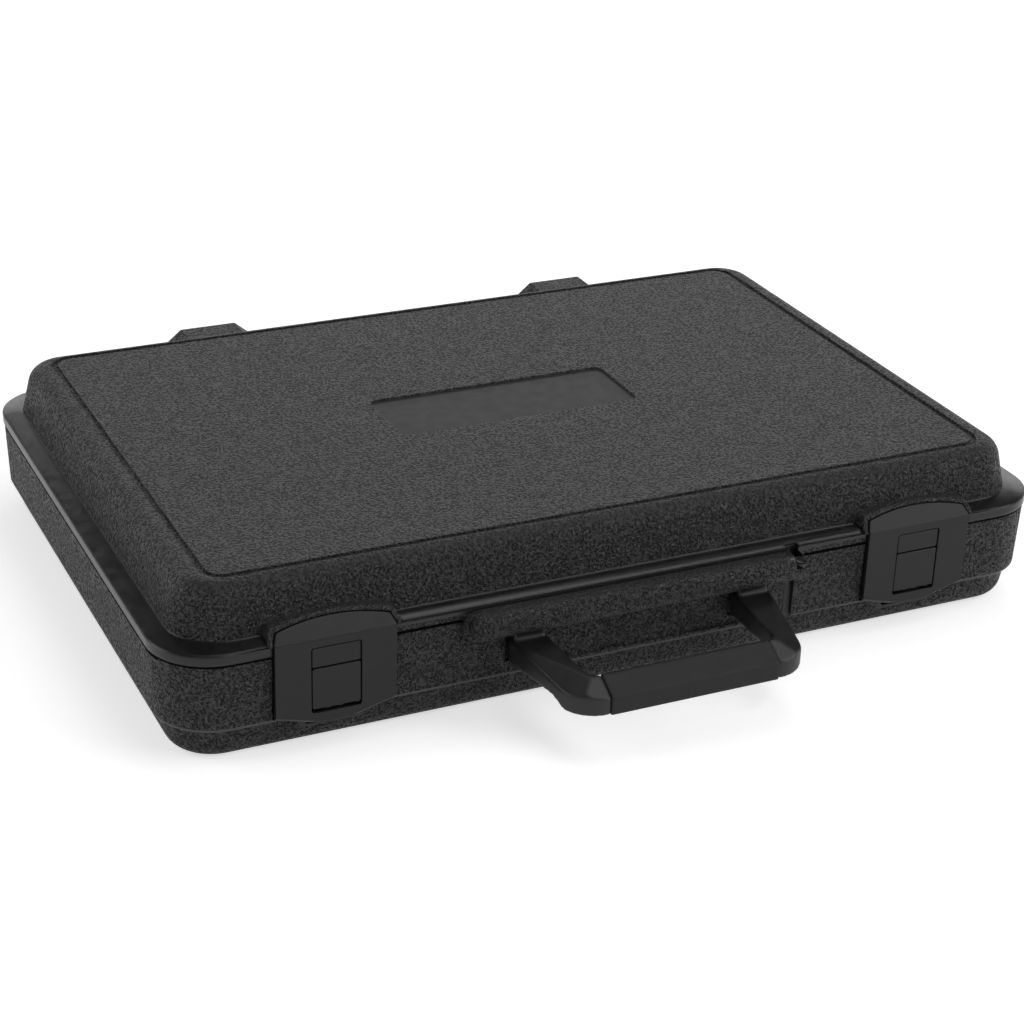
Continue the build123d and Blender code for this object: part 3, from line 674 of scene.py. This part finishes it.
@dataclass
class Materials:
    """All finishes of the case, built once."""

    lid: bpy.types.Material = field(init=False)
    base: bpy.types.Material = field(init=False)
    ledge: bpy.types.Material = field(init=False)
    label: bpy.types.Material = field(init=False)
    latch: bpy.types.Material = field(init=False)
    handle: bpy.types.Material = field(init=False)
    grip: bpy.types.Material = field(init=False)
    plug: bpy.types.Material = field(init=False)
    foam: bpy.types.Material = field(init=False)
    steel: bpy.types.Material = field(init=False)
    spring: bpy.types.Material = field(init=False)

    def __post_init__(self) -> None:
        """Build every finish."""
        # The base gets a painted highlight on the foot lip and a painted shadow along the parting line
        base = PebbledPlastic(
            "pebbled_base_plastic", zones=SMOOTH_BASE_ZONES, highlight_lips=(FOOT_LIP,), parting_shadows=PARTING_SHADOW_BANDS
        )
        ledge = SatinPlastic(
            "smooth_shell_plastic", DEEP_BLACK, roughness=0.18, fine_depth=0.006 * MM, rounding=2.2 * MM
        )
        self.lid = PebbledPlastic("pebbled_lid_plastic").build()
        self.base = base.build()
        self.ledge = ledge.build()
        self.label = SatinPlastic("label_recess_plastic", roughness=0.50, fine_depth=0.02 * MM).build()
        self.latch = SatinPlastic("latch_plastic", LATCH_BLACK, roughness=0.42, refraction=1.43).build()
        self.handle = SatinPlastic("handle_plastic", HANDLE_BLACK, roughness=0.40).build()
        self.grip = SatinPlastic(
            "grip_rubber", GRIP_BLACK, roughness=0.55, fine_depth=0.05 * MM, refraction=1.44
        ).build()
        self.plug = SatinPlastic("plug_plastic", roughness=0.22, fine_depth=0.004 * MM).build()
        self.foam = OpenCellFoam().build()
        self.steel = DrawnSteel().build()
        self.spring = DrawnSteel("spring_steel", SPRING_GREY, 0.35).build()


def only(piece: bpy.types.Object) -> None:
    """Select one object alone and make it active.

    Args:
        piece: The object.
    """
    bpy.ops.object.select_all(action="DESELECT")
    piece.select_set(True)
    bpy.context.view_layer.objects.active = piece


def dress(piece: bpy.types.Object, *finishes: bpy.types.Material) -> None:
    """Give a piece its materials.

    Args:
        piece: The piece.
        *finishes: The materials, in slot order.
    """
    piece.data.materials.clear()
    for finish in finishes:
        piece.data.materials.append(finish)


def rename(piece: bpy.types.Object, name: str) -> None:
    """Name a piece and its mesh.

    Args:
        piece: The piece.
        name: The name.
    """
    piece.name = name
    piece.data.name = name


def declare(piece: bpy.types.Object, node: str, body: str, slot: Finish) -> None:
    """Hide the solid that a finished piece stands for, hang the piece on the body that it moves with, and log
    its faces.

    Args:
        piece: The piece.
        node: The node whose solid it replaces.
        body: The body that carries it.
        slot: Not used.
    """
    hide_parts(node)
    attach(piece, body)
    LOG.info("piece %s: %d faces", piece.name, len(piece.data.polygons))


def full(_: Vector) -> float:
    """Ease every edge alike.

    Returns:
        The whole of the easing.
    """
    return 1.0


@dataclass
class Moulding:
    """A moulded piece with its hard edges eased, made over the solid of one node."""

    node: str
    body: str
    slot: Finish
    edge: float = 0.35 * MM
    segments: int = 2
    limit: float = math.radians(20)
    smooth: float = math.radians(34)
    share: Callable[[Vector], float] = full
    voxel: float = 0.0
    rounds: int = 0
    merge: float = 0.002 * MM
    weld: float = 0.001 * MM
    coplanar: float = math.radians(0.4)
    relaxing: float = 0.5
    flattening: int = 90

    def copy(self) -> bpy.types.Object:
        """Copy the node's solid, free of the frame's own tags.

        Returns:
            The copy, selected alone and active.
        """
        only(frame["nodes"][self.node])
        bpy.ops.object.duplicate(linked=False)
        piece = bpy.context.active_object
        for tag in FRAME_TAGS:
            if tag in piece:
                del piece[tag]
        piece.parent = None
        rename(piece, f"{self.node}_skin")
        if piece.data.has_custom_normals:
            bpy.ops.mesh.customdata_custom_splitnormals_clear()
        return piece

    def clean(self) -> None:
        """Merge the active piece's doubled corners and join its coplanar triangles."""
        bpy.ops.object.mode_set(mode="EDIT")
        bpy.ops.mesh.select_all(action="SELECT")
        bpy.ops.mesh.remove_doubles(threshold=self.merge)
        bpy.ops.mesh.dissolve_limited(angle_limit=self.coplanar)
        bpy.ops.mesh.select_all(action="SELECT")
        bpy.ops.mesh.vert_connect_concave()
        bpy.ops.object.mode_set(mode="OBJECT")

    def soften(self, piece: bpy.types.Object) -> None:
        """Round all the piece's creases softly, by an even mesh that is relaxed.

        Args:
            piece: The piece.
        """
        even = piece.modifiers.new("even_mesh", "REMESH")
        even.mode = "VOXEL"
        even.voxel_size = self.voxel
        bpy.ops.object.modifier_apply(modifier=even.name)
        relax = piece.modifiers.new("relaxed", "SMOOTH")
        relax.factor = self.relaxing
        relax.iterations = self.rounds
        bpy.ops.object.modifier_apply(modifier=relax.name)

    def weigh(self, piece: bpy.types.Object) -> None:
        """Weigh the edges that are eased, by their angle and place.

        Args:
            piece: The piece.
        """
        shape = bmesh.new()
        shape.from_mesh(piece.data)
        layer = shape.edges.layers.float.new("bevel_weight_edge")
        for edge in shape.edges:
            if len(edge.link_faces) == 2 and edge.calc_face_angle() > self.limit:
                edge[layer] = self.share((edge.verts[0].co + edge.verts[1].co) / 2)
        shape.to_mesh(piece.data)
        shape.free()

    def ease(self, piece: bpy.types.Object) -> None:
        """Bevel the weighed edges and weld what meets.

        Args:
            piece: The piece.
        """
        self.weigh(piece)
        bevel = piece.modifiers.new("eased_edges", "BEVEL")
        bevel.width = self.edge
        bevel.segments = self.segments
        bevel.limit_method = "WEIGHT"
        bevel.use_clamp_overlap = False
        bevel.loop_slide = False
        bevel.miter_outer = "MITER_ARC"
        bpy.ops.object.modifier_apply(modifier=bevel.name)
        bpy.ops.object.mode_set(mode="EDIT")
        bpy.ops.mesh.select_all(action="SELECT")
        bpy.ops.mesh.remove_doubles(threshold=self.weld)
        bpy.ops.object.mode_set(mode="OBJECT")

    def build(self, *finishes: bpy.types.Material) -> bpy.types.Object:
        """Copy the node's solid, ease its edges and put it in the node's place.

        Args:
            *finishes: Materials in slot order.

        Returns:
            The finished piece.
        """
        piece = self.copy()
        self.clean()
        if self.voxel:
            self.soften(piece)
        elif self.edge:
            self.ease(piece)
        bpy.ops.object.shade_smooth_by_angle(angle=self.smooth)
        if not self.voxel:
            flatten = piece.modifiers.new("weighted_normals", "WEIGHTED_NORMAL")
            flatten.keep_sharp = True
            flatten.weight = self.flattening
            bpy.ops.object.modifier_apply(modifier=flatten.name)
        dress(piece, *finishes)
        declare(piece, self.node, self.body, self.slot)
        return piece


def paint(piece: bpy.types.Object, index: int, chosen: Callable[[Vector, Vector], bool]) -> None:
    """Give the faces that a test picks another of the piece's materials.

    Args:
        piece: The piece.
        index: The material slot's number.
        chosen: Test on a face's centre and normal.
    """
    for face in piece.data.polygons:
        if chosen(face.center, face.normal):
            face.material_index = index


@dataclass
class LidShell:
    """Upper shell, with its smooth ledge and bare label recess."""

    edge: float = 0.3 * MM
    ledge_top: float = 50.9 * MM
    label_half: tuple = (57.3 * MM, 20.2 * MM)
    label_floor: float = 71.0 * MM
    label_band: float = 1.0 * MM

    def in_label(self, centre: Vector, normal: Vector) -> bool:
        """Tell whether a face is the label recess's floor.

        Args:
            centre: The face's centre.
            normal: The face's normal.

        Returns:
            True for the floor's faces.
        """
        inside = abs(centre.x) < self.label_half[0] and abs(centre.y) < self.label_half[1]
        level = self.label_floor - self.label_band < centre.z < self.label_floor
        return inside and level and normal.z > UPRIGHT

    def build(self, materials: Materials) -> bpy.types.Object:
        """Make the shell and share its surface between grain and smooth bands.

        Args:
            materials: The case's finishes.

        Returns:
            The finished shell.
        """
        shell = Moulding("lid_shell", "lid", Finish.SHELL, self.edge)
        piece = shell.build(materials.lid, materials.ledge, materials.label)
        paint(piece, 1, lambda centre, _: centre.z < self.ledge_top)
        paint(piece, 2, self.in_label)
        return piece


@dataclass
class BaseShell:
    """Lower shell, with its boss, foot step and smooth lip."""

    edge: float = 0.3 * MM
    mark_half: float = 6.5 * MM
    mark_depth: float = 5.0 * MM
    mark_low: float = 33.0 * MM
    mark_share: float = 0.3

    def share(self, centre: Vector) -> float:
        """Ease the small edges of the blow-needle mark less than the others.

        Args:
            centre: The middle of an edge.

        Returns:
            The share of the easing that the edge gets.
        """
        beside = abs(centre.x - MARK_X) < self.mark_half
        near_mark = beside and centre.y < FRONT + self.mark_depth and centre.z > self.mark_low
        return self.mark_share if near_mark else 1.0

    def build(self, materials: Materials) -> bpy.types.Object:
        """Make the shell.

        Args:
            materials: The case's finishes.

        Returns:
            The finished shell.
        """
        shell = Moulding("base_shell", "base", Finish.SHELL, self.edge, share=self.share)
        return shell.build(materials.base)


@dataclass
class Latch:
    """One latch: fixed anchor, swinging plate, cap, sprung button and its leaf spring."""

    side: str
    crease: float = 49.5 * MM
    crease_reach: float = 0.05 * MM
    anchor_edge: float = 0.45 * MM
    plate_edge: float = 0.25 * MM
    button_edge: float = 0.3 * MM
    spring_edge: float = 0.05 * MM
    press_travel: float = 1.24 * MM

    def off_crease(self, centre: Vector) -> float:
        """Leave the living hinge's crease as a sharp, closed line.

        Args:
            centre: The middle of an edge.

        Returns:
            The share of the easing that the edge gets.
        """
        return 0.0 if abs(centre.z - self.crease) < self.crease_reach else 1.0

    def moulded(self) -> list[Moulding]:
        """List the latch's plastic pieces.

        Returns:
            The anchor, plate, cap and button.
        """
        side, slot, creased = self.side, Finish.LATCH, self.off_crease
        swing, press = f"latch_{side}", f"button_{side}"
        return [
            Moulding(f"latch_anchor_{side}", "lid", slot, self.anchor_edge, segments=3, share=creased),
            Moulding(f"latch_plate_{side}", swing, slot, self.plate_edge, share=creased),
            Moulding(f"latch_cap_{side}", swing, slot, self.button_edge, segments=3),
            Moulding(f"latch_button_{side}", press, slot, self.button_edge, segments=3),
        ]

    def leaf(self, steel: bpy.types.Material) -> bpy.types.Object:
        """Make the leaf spring, which the button flattens.

        Args:
            steel: The spring's finish.

        Returns:
            The finished spring.
        """
        node = f"button_spring_{self.side}"
        leaf = Moulding(node, f"latch_{self.side}", Finish.SPRING, self.spring_edge).build(steel)
        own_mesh(leaf)
        return leaf

    def build(self, materials: Materials) -> list[bpy.types.Object]:
        """Make the latch's pieces.

        Args:
            materials: The case's finishes.

        Returns:
            The finished pieces.
        """
        pieces = [piece.build(materials.latch) for piece in self.moulded()]
        return pieces + [self.leaf(materials.spring)]


@dataclass
class Handle:
    """Swinging handle: bail with its moulded grip, on a steel rod."""

    voxel: float = 0.6 * MM
    bail_rounds: int = 16
    grip_rounds: int = 7
    rod_edge: float = 0.2 * MM

    def build(self, materials: Materials) -> list[bpy.types.Object]:
        """Make the handle's pieces.

        Args:
            materials: The case's finishes.

        Returns:
            The finished pieces.
        """
        bail = Moulding("handle_bail", "handle", Finish.HANDLE, voxel=self.voxel, rounds=self.bail_rounds)
        grip = Moulding("handle_grip", "handle", Finish.GRIP, voxel=self.voxel, rounds=self.grip_rounds)
        rod = Moulding("handle_rod", "base", Finish.STEEL, self.rod_edge)
        return [bail.build(materials.handle), grip.build(materials.grip), rod.build(materials.steel)]


@dataclass
class BlowPlug:
    """Plug that closes the blow-needle hole: a stem under a ringed head, which leans a little forward."""

    stem_radius: float = 1.75 * MM
    head_radius: float = 2.85 * MM
    head_low: float = 43.6 * MM
    head_high: float = 45.4 * MM
    ring_width: float = 0.6 * MM
    groove_width: float = 0.5 * MM
    groove_depth: float = 1.0 * MM
    stud_rise: float = 1.2 * MM
    lean: float = math.radians(14)
    smooth: float = math.radians(35)
    sides: int = 56
    edge: float = 0.14 * MM
    slack: float = 0.001 * MM

    @staticmethod
    def raise_by(height: float) -> None:
        """Extrude the selected faces upwards.

        Args:
            height: How far, in metres.
        """
        bpy.ops.mesh.extrude_region_move(TRANSFORM_OT_translate={"value": (0, 0, height)})

    def stem(self, x: float, y: float, foot: float) -> bpy.types.Object:
        """Add the stem, with only its top face selected.

        Args:
            x: The stem's place across the case.
            y: The stem's place from front to back.
            foot: The stem's lowest point.

        Returns:
            The plug so far.
        """
        bpy.ops.object.select_all(action="DESELECT")
        bpy.ops.mesh.primitive_cylinder_add(
            vertices=self.sides,
            radius=self.stem_radius,
            depth=self.head_low - foot,
            location=(x, y, (self.head_low + foot) / 2),
        )
        piece = bpy.context.active_object
        rename(piece, "blow_plug_skin")
        bpy.ops.object.transform_apply(location=True, rotation=True, scale=True)
        for face in piece.data.polygons:
            face.select = face.normal.z > UPRIGHT
        for edge in piece.data.edges:
            edge.select = False
        for vertex in piece.data.vertices:
            vertex.select = vertex.co.z > self.head_low - self.slack
        return piece

    def shape_head(self, centre: tuple) -> None:
        """Widen the stem into the head, and sink a groove between its ring and its stud.

        Args:
            centre: The middle of the stem's top.
        """
        grow = self.head_radius / self.stem_radius
        bpy.ops.object.mode_set(mode="EDIT")
        bpy.ops.mesh.select_mode(type="FACE")
        self.raise_by(0)
        bpy.ops.transform.resize(value=(grow, grow, 1), center_override=centre)
        self.raise_by(self.head_high - self.head_low)
        bpy.ops.mesh.inset(thickness=self.ring_width, depth=0)
        self.raise_by(-self.groove_depth)
        bpy.ops.mesh.inset(thickness=self.groove_width, depth=0)
        self.raise_by(self.stud_rise)
        bpy.ops.object.mode_set(mode="OBJECT")

    def lean_head(self, piece: bpy.types.Object, centre: tuple) -> None:
        """Lean the head forward.

        Args:
            piece: The plug.
            centre: The middle of the stem's top.
        """
        pivot = Vector(centre)
        turn = Matrix.Rotation(self.lean, 3, "X")
        for vertex in piece.data.vertices:
            if vertex.co.z > self.head_low - self.slack:
                vertex.co = pivot + turn @ (vertex.co - pivot)

    def build(self, materials: Materials) -> bpy.types.Object:
        """Make the plug.

        Args:
            materials: The case's finishes.

        Returns:
            The finished plug.
        """
        low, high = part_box("blow_plug")
        x, y = (low[0] + high[0]) / 2, (low[1] + high[1]) / 2
        centre = (x, y, self.head_low)
        piece = self.stem(x, y, low[2])
        self.shape_head(centre)
        self.lean_head(piece, centre)
        bevel = piece.modifiers.new("eased_edges", "BEVEL")
        bevel.width = self.edge
        bevel.segments = 2
        bevel.limit_method = "ANGLE"
        only(piece)
        bpy.ops.object.modifier_apply(modifier=bevel.name)
        bpy.ops.object.shade_smooth_by_angle(angle=self.smooth)
        dress(piece, materials.plug)
        declare(piece, "blow_plug", "base", Finish.PLUG)
        return piece


@dataclass
class Hinges:
    """Steel pins of the two hinges."""

    def build(self, materials: Materials) -> list[bpy.types.Object]:
        """Make the pins.

        Args:
            materials: The case's finishes.

        Returns:
            The finished pins.
        """
        pins = [Moulding(f"hinge_pin_{side}", "base", Finish.STEEL, edge=0.0) for side in SIDES]
        return [pin.build(materials.steel) for pin in pins]


@dataclass
class FoamInterior:
    """Foam liner, die-cut tray and egg-crate lid pad."""

    pitch: float = 26 * MM
    relief: float = 11 * MM
    margin: float = 14 * MM
    edge: float = 0.8 * MM
    voxel: float = 2.0 * MM
    rounds: int = 3

    def valley(self, place: Vector, half: tuple) -> float:
        """Give the depth of the egg-crate below its peaks at a place.

        Args:
            place: The place.
            half: Half the pad's length and depth.

        Returns:
            The depth in metres, falling to nothing towards the pad's outline.
        """
        turn = 2 * math.pi / self.pitch
        wave = 0.5 - 0.5 * math.cos(turn * place.x) * math.cos(turn * place.y)
        inside = min(half[0] - abs(place.x), half[1] - abs(place.y)) / self.margin
        share = min(max(inside, 0.0), 1.0)
        return self.relief * wave * share * share * (3 - 2 * share)

    def egg_crate(self, piece: bpy.types.Object) -> None:
        """Carve the pad's underside into peaks and valleys, inside its block.

        Args:
            piece: The pad.
        """
        low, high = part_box("lid_pad")
        half = ((high[0] - low[0]) / 2, (high[1] - low[1]) / 2)
        for vertex in piece.data.vertices:
            raised = self.valley(vertex.co, half)
            share = (high[2] - vertex.co.z) / (high[2] - low[2])
            vertex.co.z += raised * max(share, 0.0)
        piece.data.update()

    def build(self, materials: Materials) -> list[bpy.types.Object]:
        """Make the foam pieces.

        Args:
            materials: The case's finishes.

        Returns:
            The finished pieces.
        """
        finish, slot = materials.foam, Finish.FOAM
        liner = Moulding("foam_liner", "base", slot, self.edge, segments=3).build(finish)
        tray = Moulding("foam_tray", "base", slot, self.edge, segments=3).build(finish)
        pad = Moulding("lid_pad", "lid", slot, voxel=self.voxel, rounds=self.rounds).build(finish)
        self.egg_crate(pad)
        pieces = [liner, tray, pad]
        return pieces


@dataclass(frozen=True)
class Lamp:
    """Rectangular soft light: its place, the point that it faces, its size in metres and its watts."""

    name: str
    place: tuple
    aim: tuple
    size: tuple
    power: float

    def build(self) -> None:
        """Add the light."""
        bpy.ops.object.select_all(action="DESELECT")
        bpy.ops.object.light_add(type="AREA", location=self.place)
        lamp = bpy.context.active_object
        lamp.name = self.name
        lamp.data.shape = "RECTANGLE"
        lamp.data.size, lamp.data.size_y = self.size
        lamp.data.energy = self.power
        lamp.rotation_mode = "QUATERNION"
        lamp.rotation_quaternion = (Vector(self.aim) - Vector(self.place)).to_track_quat("-Z", "Y")


LAMPS = (
    Lamp("back_softbox", (1.35, 2.9, 1.2), (0, 0, 0.05), (3.6, 0.85), 11),
    Lamp("left_softbox", (-2.2, 1.0, 1.2), (-0.2, 0, 0.0), (1.8, 1.6), 18),
    Lamp("top_softbox", (0.5, 0.2, 2.35), (0, 0, 0.05), (2.0, 1.2), 12),
    Lamp("front_strip", (0.95, -1.1, 2.05), (0, 0, 0.05), (2.4, 0.3), 10),
    Lamp("front_fill", (2.1, -1.75, 1.3), (0.15, -0.35, 0.0), (1.8, 1.2), 22),
)


@dataclass
class Studio:
    """Pale floor, soft lights and the camera."""

    camera_place: tuple = (-0.40878, -0.87301, 0.48646)
    camera_right: tuple = (0.90887, -0.41615, 0.02830)
    camera_up: tuple = (0.15953, 0.40951, 0.89825)
    camera_back: tuple = (-0.38540, -0.81188, 0.43857)
    lens: float = 82.40
    sensor: float = 36.0
    clip: tuple = (0.05, 50.0)
    floor_half: float = 6.0
    near_glow: float = 0.6
    far_glow: float = 1.05
    glow_reach: tuple = (1.3, 2.4)
    mirrored_glow: float = 0.28
    sweep_heights: tuple = (0.05, 0.42)
    sweep_light: tuple = (1.0, 0.10)

    def camera(self) -> None:
        """Add the camera."""
        data = bpy.data.cameras.new("camera")
        data.lens = self.lens
        data.sensor_width = self.sensor
        data.clip_start, data.clip_end = self.clip
        camera = bpy.data.objects.new("camera", data)
        bpy.context.scene.collection.objects.link(camera)
        axes = Matrix((self.camera_right, self.camera_up, self.camera_back)).transposed()
        camera.matrix_world = Matrix.Translation(self.camera_place) @ axes.to_4x4()
        bpy.context.scene.camera = camera

    def floor(self) -> None:
        """Add the floor, white to the camera and pale to the light."""
        bpy.ops.object.select_all(action="DESELECT")
        bpy.ops.mesh.primitive_plane_add(size=2 * self.floor_half, location=(0, 0, 0))
        plane = bpy.context.active_object
        plane.name = "studio_floor"
        graph = MaterialGraph("studio_floor")
        matt = graph.add("ShaderNodeBsdfDiffuse", Color=tint(FLOOR_GREY))
        glow = graph.add("ShaderNodeEmission", Color=tint(WHITE), Strength=self.glow(graph))
        both = graph.add("ShaderNodeAddShader")
        graph.feed(both, 0, matt.outputs[0])
        graph.feed(both, 1, glow.outputs[0])
        graph.add("ShaderNodeOutputMaterial", Surface=both.outputs[0])
        dress(plane, graph.material)

    def glow(self, graph: NodeGraph) -> Socket:
        """Make the floor white to the rays that see it, and only pale to those that carry its light.

        Args:
            graph: The floor's material.

        Returns:
            Strength of the floor's own white, by the kind of ray.
        """
        path = graph.add("ShaderNodeLightPath").outputs
        mirrored = graph.math("MAXIMUM", path["Is Glossy Ray"], path["Is Transmission Ray"])
        away = graph.add("ShaderNodeVectorMath", {"operation": "LENGTH"}, Vector=graph.place)
        seen = graph.ramp(away.outputs["Value"], *self.glow_reach, self.near_glow, self.far_glow)
        direct = graph.product(path["Is Camera Ray"], seen)
        return graph.math("MAXIMUM", direct, graph.product(mirrored, self.mirrored_glow))

    def world(self) -> None:
        """Put a white sweep all round the horizon, with a darker ceiling over it."""
        world = bpy.data.worlds.new("studio")
        bpy.context.scene.world = world
        world.use_nodes = True
        graph = NodeGraph(world.node_tree)
        split = graph.add("ShaderNodeSeparateXYZ", Vector=graph.coordinates["Generated"])
        rise = graph.ramp(split.outputs["Z"], *self.sweep_heights, *self.sweep_light)
        sweep = graph.add("ShaderNodeBackground", Color=tint(WHITE), Strength=rise)
        white = graph.add("ShaderNodeBackground", Color=tint(WHITE), Strength=1.0)
        path = graph.add("ShaderNodeLightPath").outputs
        through = graph.math("MAXIMUM", path["Is Camera Ray"], path["Is Transmission Ray"])
        both = graph.add("ShaderNodeMixShader")
        for number, socket in enumerate((through, sweep.outputs[0], white.outputs[0])):
            graph.feed(both, number, socket)
        graph.add("ShaderNodeOutputWorld", Surface=both.outputs[0])

    def build(self) -> None:
        """Make the floor, the lights and the camera."""
        self.world()
        self.floor()
        self.camera()
        for lamp in LAMPS:
            lamp.build()
        bpy.context.scene.view_settings.view_transform = "Standard"


def main() -> None:
    """Build the case and the studio."""
    logging.basicConfig(level=logging.INFO, format="%(name)s %(message)s")
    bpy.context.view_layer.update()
    materials = Materials()
    Studio().build()
    LidShell().build(materials)
    BaseShell().build(materials)
    for side in SIDES:
        Latch(side).build(materials)
    Handle().build(materials)
    BlowPlug().build(materials)
    Hinges().build(materials)
    FoamInterior().build(materials)


if __name__ == "__main__":
    main()
